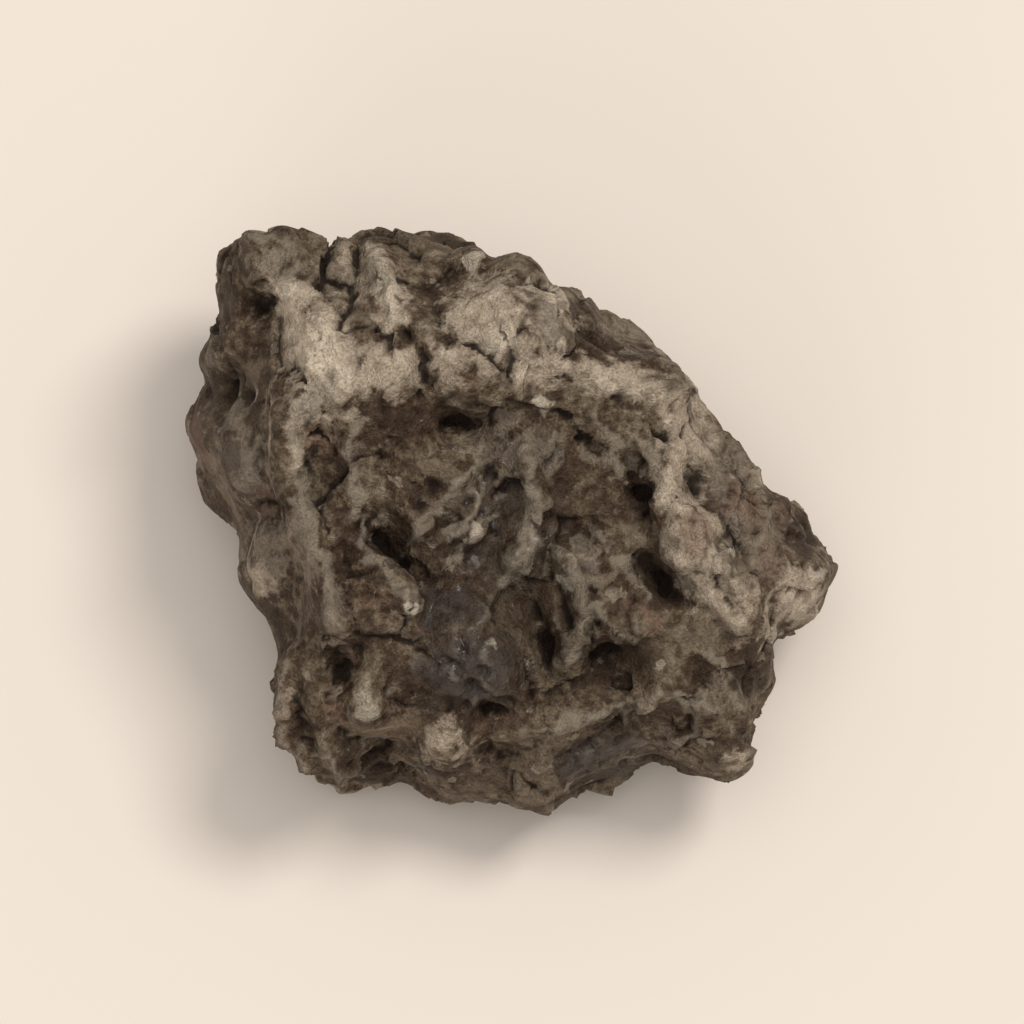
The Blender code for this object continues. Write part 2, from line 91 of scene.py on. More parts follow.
# Fine ridges and cracks: half width, rise, and the points that each follows.
FINE_RIDGES = (
    # The inner crests of the left wall.
    (0.13, 0.16, ((-4.31, 1.83), (-4.21, 0.34), (-3.67, -1.04), (-3.41, -2.22))),
    (0.10, 0.14, ((-3.09, 1.83), (-3.25, 0.87), (-2.98, -0.19), (-2.88, -0.72))),
    # Folds and blades in the hollow.
    (0.13, 0.16, ((-0.75, 0.87), (-1.28, 0.34), (-1.76, -0.19), (-1.97, -0.72))),
    (0.09, 0.18, ((-0.69, 0.77), (-0.69, 0.13), (-1.01, -0.30), (-1.28, -0.51))),
    (0.10, 0.22, ((-0.48, -0.09), (-0.85, -0.51), (-1.17, -1.04))),
    (0.16, 0.16, ((0.27, 1.19), (0.43, 0.23), (0.27, -0.51), (-0.05, -1.36))),
    (0.07, 0.14, ((0.53, 0.34), (0.48, -0.51), (0.16, -1.26))),
    (0.11, 0.20, ((-2.82, -0.83), (-2.34, -1.26), (-1.86, -1.90))),
    (0.12, 0.24, ((0.85, -0.72), (1.28, -1.36), (1.49, -2.11), (1.17, -2.96))),
    (0.09, 0.20, ((1.38, -1.79), (1.92, -2.11), (2.40, -2.53))),
    (0.12, 0.16, ((1.60, -0.30), (2.13, -0.94), (2.72, -1.68))),
    (0.10, 0.16, ((1.60, 1.94), (2.02, 1.41), (2.18, 0.77))),
    # The rim on the right, and the band that leads to it.
    (0.12, 0.18, ((2.56, 1.41), (2.98, 0.34), (3.14, -0.72), (3.94, -1.68), (4.58, -2.43))),
    (0.12, 0.15, ((0.85, 3.96), (0.85, 3.00), (1.92, 2.47), (3.51, 2.36))),
    (0.09, 0.15, ((4.69, 0.77), (5.11, -0.09), (4.69, -0.94))),
    # The edge of the knob, the light streak and cracks beside it.
    (0.10, 0.14, ((-5.27, 5.45), (-4.47, 5.45), (-4.26, 5.03), (-4.37, 4.39))),
    (0.12, 0.25, ((-2.72, 5.13), (-2.45, 4.49), (-2.34, 3.75))),
    (0.09, -0.16, ((-3.09, 5.35), (-3.14, 4.39), (-3.41, 3.64))),
    (0.10, -0.20, ((-2.18, 3.64), (-1.70, 2.90), (-1.86, 2.36))),
    (0.08, 0.12, ((-4.15, 3.96), (-3.94, 3.11), (-3.46, 2.15))),
    # The curved lobe at the lower left.
    (0.08, 0.16, ((-3.73, -4.45), (-3.67, -4.88), (-3.30, -5.41))),
    (0.10, 0.15, ((-4.47, -3.07), (-4.69, -3.92), (-4.47, -4.77), (-3.94, -5.41))),
    (0.12, -0.18, ((-3.62, -3.49), (-3.41, -2.85), (-2.66, -2.48), (-1.38, -2.43))),
    # Cracks in the glassy swelling.
    (0.08, -0.15, ((-1.85, -2.70), (-1.10, -3.00), (-0.60, -3.70))),
    (0.07, -0.12, ((-1.05, -2.35), (-0.95, -2.95), (-0.30, -3.20))),
    # The near ledge.
    (0.12, 0.16, ((0.21, -4.45), (1.49, -4.03), (2.98, -3.60), (4.05, -3.92))),
    (0.10, 0.14, ((3.83, -2.75), (4.37, -3.49), (4.58, -4.13))),
    (0.07, -0.07, ((1.17, -5.73), (1.92, -5.09), (3.09, -4.98))),
)

# Grains, clasts and pits: right, up, half width, half length, turn in degrees, rise.
FINE_LUMPS = (
    # Grains and pits of the knob and the light ground.
    (-5.06, 4.07, 0.28, 0.24, 0, -0.30),
    (-4.47, 4.33, 0.20, 0.20, 0, 0.14),
    (-3.57, 2.90, 0.42, 0.42, 0, 0.18),
    (-2.50, 2.84, 0.35, 0.22, 0, 0.12),
    (-0.37, 3.64, 0.55, 0.55, 0, 0.15),
    (-0.85, 3.22, 0.14, 0.14, 0, -0.20),
    (-0.34, 3.30, 0.14, 0.14, 0, 0.15),
    (0.32, 4.44, 0.20, 0.18, 0, 0.15),
    (-0.85, 5.03, 0.18, 0.16, 0, 0.15),
    # Pits and grains of the right rim and its lobe.
    (1.76, 3.27, 0.55, 0.20, -20, -0.25),
    (2.88, 1.62, 0.28, 0.15, 0, -0.22),
    (3.83, 0.55, 0.32, 0.28, 0, -0.30),
    (5.72, -0.25, 0.34, 0.36, 0, -0.36),
    (4.26, -0.78, 0.16, 0.16, 0, 0.16),
    (6.07, -1.26, 0.18, 0.16, 0, 0.14),
    (5.64, -1.90, 0.20, 0.20, 0, 0.16),
    (5.22, -2.48, 0.14, 0.14, 0, 0.14),
    (4.47, -2.11, 0.14, 0.20, 0, 0.12),
    # Deep places of the hollow.
    (-1.06, 1.73, 0.40, 0.16, 0, -0.25),
    (-3.94, 0.98, 0.16, 0.45, 0, -0.18),
    (-2.61, -0.62, 0.50, 0.14, -42, -0.34),
    (-1.54, 0.45, 0.13, 0.22, 20, -0.20),
    (2.56, 0.35, 0.30, 0.50, 10, -0.15),
    (2.82, -1.26, 0.50, 0.16, -42, -0.28),
    (0.64, -2.53, 0.18, 0.45, 12, -0.35),
    (1.92, -2.75, 0.28, 0.16, 0, -0.25),
    (-0.32, -3.92, 0.30, 0.14, 0, -0.22),
    (-0.21, -1.90, 0.20, 0.30, 0, -0.12),
    (0.59, 2.12, 0.14, 0.14, 0, 0.18),
    (-1.99, -1.93, 0.16, 0.15, 0, 0.16),
    # The white clast, its socket, the glassy swelling and the near rim.
    (-2.88, -3.81, 0.34, 0.48, 8, 0.26),
    (-3.35, -3.07, 0.14, 0.30, 0, -0.25),
    (-2.88, -4.98, 0.35, 0.20, 0, -0.25),
    (-0.21, -4.88, 0.30, 0.16, 0, -0.20),
    (-1.38, -4.77, 0.35, 0.40, 0, 0.20),
    (-0.45, -2.60, 0.22, 0.28, 0, 0.14),
    (-1.15, -3.45, 0.26, 0.20, 20, 0.12),
    # The left slope.
    (-5.54, 2.47, 0.50, 0.40, 0, -0.16),
    (-4.90, -0.72, 0.35, 0.30, 0, -0.12),
    (-5.01, -1.42, 0.30, 0.25, 0, 0.12),
    (-5.38, 0.77, 0.50, 0.50, 0, 0.12),
)

# The parts of the outline that are nearly straight, and how wide the even strip along them is.
EVEN_WIDTH = 0.9
EVEN_EDGES = (
    ((-0.2, 5.4), (1.9, 4.9), (3.6, 3.3), (5.0, 1.2)),
    ((-6.3, 2.2), (-5.7, 0.0), (-4.9, -2.2)),
)

# Where each kind of rock lies: right, up, half width, half length, turn in degrees, strength.
ZONES = {
    "tan": (
        (-3.75, 3.00, 0.62, 0.95, 12, 1.05),
        (-3.60, 2.55, 0.42, 0.42, 0, 1.15),
        (-4.36, 4.20, 0.34, 0.55, 30, 0.90),
        (-2.56, 2.85, 0.80, 0.42, 0, 0.75),
        (-2.55, 4.55, 0.30, 0.75, 25, 0.85),
        (-2.40, 3.80, 0.28, 0.40, 0, 0.75),
        (-0.43, 3.75, 0.85, 0.85, 0, 0.66),
        (-1.30, 2.80, 0.60, 0.45, 0, 0.52),
        (-3.30, 4.60, 0.45, 0.60, 0, 0.50),
        (-0.40, 3.30, 0.32, 0.30, 0, 0.85),
        (0.80, 3.85, 0.32, 0.85, -10, 0.90),
        (0.70, 2.80, 0.85, 0.32, 0, 0.72),
        (2.30, 2.50, 1.25, 0.36, -12, 0.72),
        (3.50, 1.70, 0.65, 0.60, 0, 0.62),
        (3.20, 0.80, 0.40, 0.80, 0, 0.58),
        (3.60, -0.40, 0.55, 0.95, 10, 0.55),
        (4.25, -1.60, 0.50, 0.90, 30, 0.55),
        (5.20, 0.80, 0.50, 0.40, 0, 0.50),
        (5.75, -1.70, 0.55, 0.60, 0, 0.68),
        (-1.38, -4.56, 0.50, 0.40, 0, 0.50),
        (-5.01, -1.36, 0.40, 0.30, 0, 0.52),
        (-4.20, 1.60, 0.30, 0.90, 0, 0.48),
        (4.47, -5.09, 0.40, 0.40, 0, 0.45),
    ),
    "cream": (
        (-4.42, 4.33, 0.18, 0.20, 30, 0.80),
        (-2.62, 4.75, 0.14, 0.34, 25, 0.80),
        (-0.85, 4.97, 0.18, 0.16, 0, 0.85),
        (0.34, 4.44, 0.16, 0.16, 0, 0.70),
        (-0.37, 3.30, 0.18, 0.15, 0, 0.75),
        (0.59, 2.12, 0.18, 0.15, 0, 0.85),
        (-2.88, -3.81, 0.30, 0.44, 8, 0.56),
        (4.26, -0.78, 0.16, 0.18, 0, 0.80),
        (6.09, -1.26, 0.18, 0.16, 0, 0.70),
        (5.62, -1.90, 0.20, 0.20, 0, 0.74),
        (5.24, -2.48, 0.16, 0.14, 0, 0.85),
        # Painted highlights: four glints on the glassy hollow, laid as pale spots.
        (-0.69, -0.30, 0.13, 0.26, -20, 0.75),
        (-1.99, -1.93, 0.16, 0.15, 0, 0.85),
        (-0.43, -2.64, 0.14, 0.18, 0, 0.52),
        (1.06, -1.36, 0.10, 0.30, 20, 0.60),
    ),
    "rust": (
        (4.95, 0.20, 0.80, 0.80, 0, 0.62),
        (5.00, -1.00, 0.60, 0.70, 0, 0.55),
        (-1.17, 2.47, 0.60, 0.30, 0, 0.60),
        (-1.38, 1.83, 0.50, 0.30, 0, 0.50),
        (-2.66, -1.68, 0.50, 0.40, 0, 0.50),
        (-3.30, -3.07, 0.30, 0.40, 0, 0.60),
        (-4.58, -4.03, 0.30, 1.00, 0, 0.60),
        (1.92, -2.43, 0.40, 0.30, 0, 0.40),
        (-1.38, -4.13, 0.40, 0.30, 0, 0.40),
        (-0.21, -4.13, 0.60, 0.30, 0, 0.50),
        (2.98, -4.35, 0.80, 0.40, 0, 0.30),
        (-2.24, 5.03, 0.50, 0.30, 0, 0.40),
    ),
    "grey": (
        (4.30, 0.95, 0.80, 0.75, 0, 0.62),
        (4.70, -0.70, 0.75, 0.90, 0, 0.62),
        (-5.40, 0.90, 0.60, 0.80, 0, 0.62),
        (-4.90, -0.90, 0.50, 0.80, 0, 0.60),
        (-0.40, 1.30, 0.90, 0.45, 0, 0.50),
        (-4.74, 4.92, 0.35, 0.30, 0, 0.80),
        (-4.26, 1.62, 0.20, 0.50, 0, 0.60),
        (-4.05, -0.30, 0.35, 1.00, 0, 0.70),
        (-3.09, 0.77, 0.20, 0.80, 0, 0.50),
        (-3.51, -1.90, 0.30, 0.60, 0, 0.60),
        (1.38, -1.15, 0.30, 0.60, 0, 0.70),
        (1.92, 1.19, 0.35, 0.40, 0, 0.50),
        (3.41, -0.94, 0.30, 0.90, 20, 0.70),
        (2.45, 3.43, 0.90, 0.35, -20, 0.50),
        (3.94, -3.60, 0.50, 0.50, 0, 0.50),
    ),
    "glass": (
        (-0.85, -3.07, 1.10, 0.80, 0, 0.68),
        (-1.28, -1.90, 0.90, 0.50, 0, 0.60),
        (-0.21, -0.30, 1.50, 1.50, 0, 0.45),
        (1.92, -4.88, 1.30, 0.50, 8, 0.60),
    ),
    # Darker rock, and painted shade: many of these ovals lie on the pits and the hollow of the
    # relief.
    "dark": (
        (-5.54, 2.47, 0.60, 0.50, 0, 0.75),
        (-0.30, 0.00, 2.30, 1.40, 0, 0.50),
        (0.60, -1.90, 2.20, 1.60, 0, 0.66),
        (-1.60, 1.85, 1.10, 0.28, 0, 0.70),
        (1.95, 3.25, 0.75, 0.32, -25, 0.75),
        (2.60, 0.30, 0.40, 0.75, 0, 0.80),
        (0.85, -2.43, 0.32, 0.70, 12, 0.95),
        (2.90, -1.40, 0.40, 0.80, 20, 0.80),
        (4.79, -3.17, 0.45, 0.65, 0, 0.85),
        (3.75, 0.50, 0.40, 0.30, 0, 0.90),
        (5.70, -0.30, 0.50, 0.60, 0, 1.10),
        (-4.90, 5.56, 0.60, 0.25, 0, 0.80),
        (-1.10, 5.56, 1.80, 0.35, 0, 0.75),
        (-2.88, -4.98, 0.80, 0.45, 0, 0.80),
        (-4.58, -4.35, 0.35, 1.00, 0, 0.75),
        (-2.61, -0.62, 0.60, 0.25, -42, 0.95),
        (-3.35, -2.95, 0.35, 0.35, 0, 0.90),
        (-0.80, -4.00, 1.00, 0.38, 0, 0.95),
        (2.10, -2.80, 0.90, 0.70, 0, 0.85),
        (0.60, -5.30, 1.60, 0.40, 0, 0.60),
        (4.30, -4.90, 0.60, 0.60, 0, 0.62),
    ),
}

# The same kinds of rock on the sides that the view doesn't show: size of the patches, start of
# their noise, and how much more or less than half they cover.
SCATTER = {
    "tan": (2.3, (3, 5, 7), -0.16),
    "cream": (0.62, (11, 2, 5), -0.56),
    "rust": (1.9, (8, 13, 2), -0.20),
    "grey": (1.7, (1, 17, 9), -0.18),
    "glass": (2.6, (6, 4, 21), -0.20),
    "dark": (1.8, (15, 9, 12), -0.18),
}
SCATTER_FINE_SIZE = 0.3
SCATTER_FINE_SHARE = 0.35
SCATTER_STEEPNESS = 2.2

# Colours of the stone and the floor.
DARK_MATRIX = (0.032, 0.0170, 0.0085)
BROWN_MATRIX = (0.076, 0.0475, 0.0282)
OLIVE_MATRIX = (0.164, 0.1220, 0.0780)
GREY_MATRIX = (0.283, 0.2260, 0.1680)
GREY = (0.255, 0.2090, 0.1580)
RUST = (0.205, 0.1240, 0.0840)
TAN_SHADE = (0.232, 0.1770, 0.1220)
TAN = (0.395, 0.3170, 0.2370)
TAN_LIGHT = (0.600, 0.4980, 0.3780)
CREAM = (0.420, 0.3620, 0.2820)
GLASS = (0.024, 0.0165, 0.0150)
# Painted shade: the near-black that is laid into the pits and wide hollows.
PAINTED_SHADE = (0.010, 0.004, 0.001)
# Painted highlight: the pale grey that is laid on the crests and the drawn ridges.
CREST_HIGHLIGHT = (0.265, 0.220, 0.162)
FLOOR = (0.785, 0.706, 0.630)

# Patterns of the material, in repeats for each millimetre: noises are a scale, a detail and a
# roughness, shifts a scale and an amount, and chips a scale and a steepness.
PATCHY = (0.75, 5, 0.62)
GRAINY = (4.2, 4, 0.68)
SANDY = (16, 2, 0.7)
BLOTCHY = (2.1, 4, 0.6, 0.6)
DRIFT = (1.3, 0.35)
SHATTER = (5.5, 0.22)
BROAD_CHIPS = (2.3, 3.0)
SMALL_CHIPS = (6.5, 2.6)
CELL_EDGE = 0.06
BUMP_DEPTH = 0.20

# Where each kind of rock begins and is full, and how well it covers what is under it.
COVER = {
    "dark": (0.30, 0.95, 0.85),
    "grey": (0.25, 0.75, 0.80),
    "rust": (0.25, 0.80, 0.60),
    "glass": (0.25, 0.75, 0.80),
    "cream": (0.28, 0.70, 0.85),
}

# Clasts and mineral specks: scale, which cells have one, widest margin, cover, and their kinds.
CLASTS = (
    0.95, 0.62, 0.30, 0.50,
    ((0.0, TAN_SHADE), (0.3, GREY), (0.5, DARK_MATRIX), (0.75, TAN), (0.88, RUST)),
)
SPECKS = (
    3.4, 0.78, 0.36, 0.45,
    ((0.0, TAN), (0.25, DARK_MATRIX), (0.65, GREY), (0.93, CREAM)),
)

# Gloss.
STONE_SPECULAR = 0.22
GLAZE_GLOSS = 0.85
GLAZE_COAT = 0.30
COAT_ROUGHNESS = 0.16
FLOOR_ROUGHNESS = 0.9
FLOOR_SPECULAR = 0.1

# Stage: half of the floor's width, and the lights with place, size, power and colour.
FLOOR_REACH = 1.5
LIGHTS = (
    ("key", (0.41, 0.21, 0.89), 0.36, 4.8, (1.0, 0.97, 0.93)),
    ("overhead", (0.0, -0.1, 0.9), 0.8, 2.5, (1.0, 0.98, 0.96)),
    ("front", (-0.25, -0.75, 0.45), 0.6, 1.3, (1.0, 0.98, 0.96)),
)
WORLD_COLOUR = (1.0, 0.97, 0.93)
WORLD_STRENGTH = 0.415


def view_axes():
    """The ways that are right, up and towards the viewer in the slanted view."""
    right = np.array((1.0, 0.0, 0.0))
    up = np.array((0.0, math.sin(VIEW_ELEVATION), math.cos(VIEW_ELEVATION)))
    towards = np.array((0.0, -math.cos(VIEW_ELEVATION), math.sin(VIEW_ELEVATION)))
    return right, up, towards


def in_view(points):
    """Where points lie in the slanted view: right and up of its middle."""
    right, up, _ = view_axes()
    from_middle = points - np.array(VIEW_MIDDLE)
    return from_middle @ right, from_middle @ up


def faces_view(normals):
    """1 where the surface is turned to the slanted view, 0 where it is turned away."""
    return np.clip(normals @ view_axes()[2] * FACING_GAIN, 0, 1)


def points_of(shape):
    return np.array([vertex.co for vertex in shape.verts])


def set_points(shape, points):
    for vertex, point in zip(shape.verts, points):
        vertex.co = point


def soft_noise(points, size, start=(0, 0, 0)):
    """A noise over the points, about 0 on average."""
    shift = Vector(start)
    return np.array([noise.noise(Vector(point) / size + shift) for point in points])


def smooth(shape, passes):
    for _ in range(passes):
        bmesh.ops.smooth_vert(
            shape, verts=shape.verts, factor=0.5, use_axis_x=True, use_axis_y=True, use_axis_z=True
        )


def broad_normals(shape):
    """The way the surface faces at each point once its small forms are evened out."""
    broad = shape.copy()
    smooth(broad, NORMAL_SMOOTHING)
    broad.normal_update()
    normals = np.array([vertex.normal for vertex in broad.verts])
    broad.free()
    return normals


def even_skin(node):
    """A copy of the solid in millimetres, made anew in small even faces."""
    shape = bmesh.new()
    shape.from_mesh(node.data)
    bmesh.ops.remove_doubles(shape, verts=shape.verts, dist=SAME_PLACE)
    bmesh.ops.scale(shape, verts=shape.verts, vec=(1 / MM, 1 / MM, 1 / MM))
    mesh = bpy.data.meshes.new("lunar_stone")
    shape.to_mesh(mesh)
    shape.free()
    stone = bpy.data.objects.new("lunar_stone", mesh)
    bpy.context.scene.collection.objects.link(stone)
    grid = stone.modifiers.new("even grid", "REMESH")
    grid.mode = "VOXEL"
    grid.voxel_size = SKIN_GRID
    evaluated = stone.evaluated_get(bpy.context.evaluated_depsgraph_get())
    even = bpy.data.meshes.new_from_object(evaluated)
    stone.modifiers.clear()
    stone.data = even
    bpy.data.meshes.remove(mesh)
    return stone


def distance_to_path(right, up, path):
    """How far each point lies from the nearest stretch of a path, in the view."""
    nearest = np.full_like(right, np.inf)
    for (r0, u0), (r1, u1) in zip(path, path[1:]):
        along_r, along_u = r1 - r0, u1 - u0
        share = ((right - r0) * along_r + (up - u0) * along_u) / (along_r**2 + along_u**2)
        share = np.clip(share, 0, 1)
        away = np.hypot(right - r0 - share * along_r, up - u0 - share * along_u)
        nearest = np.minimum(nearest, away)
    return nearest


def ridge_line(right, up, path, half_width):
    """1 on the line of a ridge or crack, and 0 away from it."""
    return np.exp(-((distance_to_path(right, up, path) / half_width) ** RIDGE_SHARPNESS))


def across_oval(right, up, place_right, place_up, half_width, half_length, turn):
    """How far out each point lies in a turned oval: 0 in its middle and 1 on its edge."""
    cos_turn, sin_turn = math.cos(math.radians(turn)), math.sin(math.radians(turn))
    across = (right - place_right) * cos_turn + (up - place_up) * sin_turn
    along = (up - place_up) * cos_turn - (right - place_right) * sin_turn
    return np.hypot(across / half_width, along / half_length)


def drawn_zone(right, up, ovals, reach):
    """The mask of a zone: the strength of each oval in its middle, and 0 from its reach on."""
    mask = np.zeros_like(right)
    for place_right, place_up, half_width, half_length, turn, strength in ovals:
        out = across_oval(right, up, place_right, place_up, half_width, half_length, turn)
        mask = np.maximum(mask, strength * np.clip(reach - out, 0, 1))
    return mask


def wandered(points, size, amount):
    """The points' places in the view, shifted a little so that drawn forms get broken edges."""
    right, up = in_view(points)
    right = right + amount * soft_noise(points, size)
    up = up + amount * soft_noise(points, size, (31, 7, 19))
    return right, up


def drawn_relief(right, up):
    """Rise of the ridges, grains and pits that are seen in the view."""
    rise = np.zeros_like(right)
    for half_width, height, path in FINE_RIDGES:
        rise += RIDGE_RISE * height * ridge_line(right, up, path, RIDGE_SPREAD * half_width)
    for place_right, place_up, half_width, half_length, turn, height in FINE_LUMPS:
        out = across_oval(right, up, place_right, place_up, half_width, half_length, turn)
        rise += height * np.exp(-(out**2))
    return rise


def tilted_facet(place, size, slope):
    """Rise of a patchwork of tilted flat patches, each of which ends in a small step."""
    centre = noise.voronoi(place / size)[1][0]
    tilt = noise.cell_vector(centre * 29) - Vector((0.5, 0.5, 0.5))
    return slope * (place - centre * size).dot(tilt)


def vug_depth(place):
    """1 in the middle of a small round hole, 0 away from all of them."""
    if noise.cell(place / VUG_SPACING) <= VUG_FROM:
        return 0.0
    near = noise.voronoi(place / VUG_SPACING + Vector((2, 9, 4)))[0][0]
    return max(0.0, 1 - (near / VUG_REACH) ** 2)


def broken_rock(points):
    """Rise of the chips, crags and vugs of a broken surface, all over the stone."""
    rise = np.empty(len(points))
    for number, point in enumerate(points):
        place = Vector(point)
        patch = 0.5 + noise.noise(place / ROUGH_PATCH_SIZE + Vector((5, 3, 8)))
        crag = noise.ridged_multi_fractal(place / CRAG_SIZE, 0.9, 2.1, 4, 1.0, 2.0) / 2 - 0.5
        rise[number] = (
            tilted_facet(place, *COARSE_CHIPS)
            + tilted_facet(place, *FINE_CHIPS)
            + CRAG_RISE * crag * (0.5 + 0.9 * patch)
            - VUG_DEPTH * vug_depth(place) * patch
            + SOFT_RISE * noise.noise(place / SOFT_SIZE)
        )
    return rise


def even_edge(right, up):
    """1 along the parts of the outline that are nearly straight."""
    edge = np.zeros_like(right)
    for path in EVEN_EDGES:
        strip = np.exp(-((distance_to_path(right, up, path) / EVEN_WIDTH) ** 2))
        edge = np.maximum(edge, strip)
    return edge


def roughen(stone):
    """Give the skin its fine relief and return the shape."""
    shape = bmesh.new()
    shape.from_mesh(stone.data)
    smooth(shape, FACET_SMOOTHING)
    points = points_of(shape)
    normals = broad_normals(shape)
    seen = faces_view(normals)
    right, up = wandered(points, *RELIEF_WANDER)
    glaze = drawn_zone(right, up, ZONES["glass"], GLAZE_REACH) * seen
    broken = broken_rock(points) * (1 - GLAZE_EVENS * glaze)
    broken = broken * (1 - EDGE_EVENS * even_edge(right, up))
    uneven = UNEVEN_MIDDLE + soft_noise(points, UNEVEN_SIZE, (4, 4, 9))
    rise = broken + drawn_relief(right, up) * uneven * seen
    rise = np.clip(rise, -MOST_RISE, MOST_RISE) * np.clip(points[:, 2] / REST_BAND, 0, 1)
    moved = points + normals * rise[:, None]
    moved[:, 2] = np.maximum(moved[:, 2], 0)
    set_points(shape, moved)
    return shape


def neighbours(shape):
    """Each edge in both ways, as a list of the points it leaves and one of those it reaches."""
    ends = np.array([(edge.verts[0].index, edge.verts[1].index) for edge in shape.edges])
    return np.concatenate((ends[:, 0], ends[:, 1])), np.concatenate((ends[:, 1], ends[:, 0]))


def evened(values, joined, passes):
    """Each value moved half way to the mean of its neighbours, as often as passes says."""
    here, there = joined
    count = np.bincount(here, minlength=len(values))
    for _ in range(passes):
        total = np.column_stack([
            np.bincount(here, weights=values[there, axis], minlength=len(values))
            for axis in range(values.shape[1])
        ])
        values = values / 2 + total / count[:, None] / 2
    return values


def hollowness(shape, passes, depth):
    """How far each point lies under the evened surface: 0.5 is level, 1 a pit and 0 a crest."""
    shape.verts.index_update()
    shape.normal_update()
    points = points_of(shape)
    normals = np.array([vertex.normal for vertex in shape.verts])
    level = evened(points, neighbours(shape), passes)
    under = np.einsum("ij,ij->i", level - points, normals)
    return np.clip(0.5 + under / depth / 2, 0, 1)


def crest_highlight_lines(right, up):
    """The crests that get a painted highlight: a lighter grey along the drawn ridges."""
    lines = np.zeros_like(right)
    for half_width, height, path in FINE_RIDGES:
        if height > 0:
            lines = np.maximum(lines, ridge_line(right, up, path, CREST_SPREAD * half_width))
    return lines


def scattered_zone(points, size, start, share):
    """Patches of a finish on the sides that the view doesn't show."""
    coarse = soft_noise(points, size, start)
    fine = soft_noise(points, size * SCATTER_FINE_SIZE, start)
    return np.clip((coarse + SCATTER_FINE_SHARE * fine + share) * SCATTER_STEEPNESS, 0, 1)


def add_value(mesh, name, values):
    """Store one number for each point, which the material reads by its name."""
    attribute = mesh.attributes.new(name, "FLOAT", "POINT")
    attribute.data.foreach_set("value", values.astype(np.float32))


def finish_stone(stone):
    """Roughen the skin and store where each kind of rock, ridge, pit and hollow lies on it."""
    shape = roughen(stone)
    points = points_of(shape)
    seen = faces_view(broad_normals(shape))
    right, up = wandered(points, *COLOUR_WANDER)
    values = {}
    for name, ovals in ZONES.items():
        drawn = drawn_zone(right, up, ovals, ZONE_REACH)
        values[name] = seen * drawn + (1 - seen) * scattered_zone(points, *SCATTER[name])
    values["ridge"] = seen * crest_highlight_lines(right, up)
    values["pit"] = hollowness(shape, *PIT_LEVEL)
    values["hollow"] = hollowness(shape, *HOLLOW_LEVEL)
    bmesh.ops.scale(shape, verts=shape.verts, vec=(MM, MM, MM))
    bmesh.ops.recalc_face_normals(shape, faces=shape.faces)
    shape.to_mesh(stone.data)
    shape.free()
    for name, mask in values.items():
        add_value(stone.data, name, mask)
    stone.data.shade_smooth()


